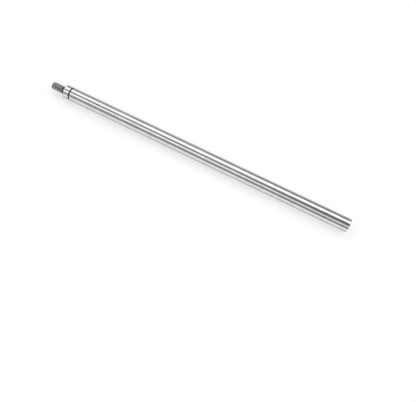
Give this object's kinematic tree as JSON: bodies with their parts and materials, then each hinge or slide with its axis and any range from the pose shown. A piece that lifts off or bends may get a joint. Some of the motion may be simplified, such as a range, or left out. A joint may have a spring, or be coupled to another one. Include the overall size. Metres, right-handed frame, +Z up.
{
  "type": "stepped shaft",
  "caption": "Slender ground steel extension shaft: a threaded stud, shoulder and ring groove at the stepped end, and a tapped hole in the plain end.",
  "frame": {"origin": "centre of the shoulder face that the threaded stud stands on", "axes": "+X along the shaft's axis from the shoulder to the plain end, the stud towards -X; the shaft lies on its side, +Z up"},
  "size_m": [0.1048, 0.0042, 0.0044],
  "materials": {
    "ground_steel": "bright ground steel with fine marks round the shaft, darker in the thread"
  },
  "bodies": {
    "root": {"stepped_shaft": "ground_steel"}
  },
  "joints": []
}
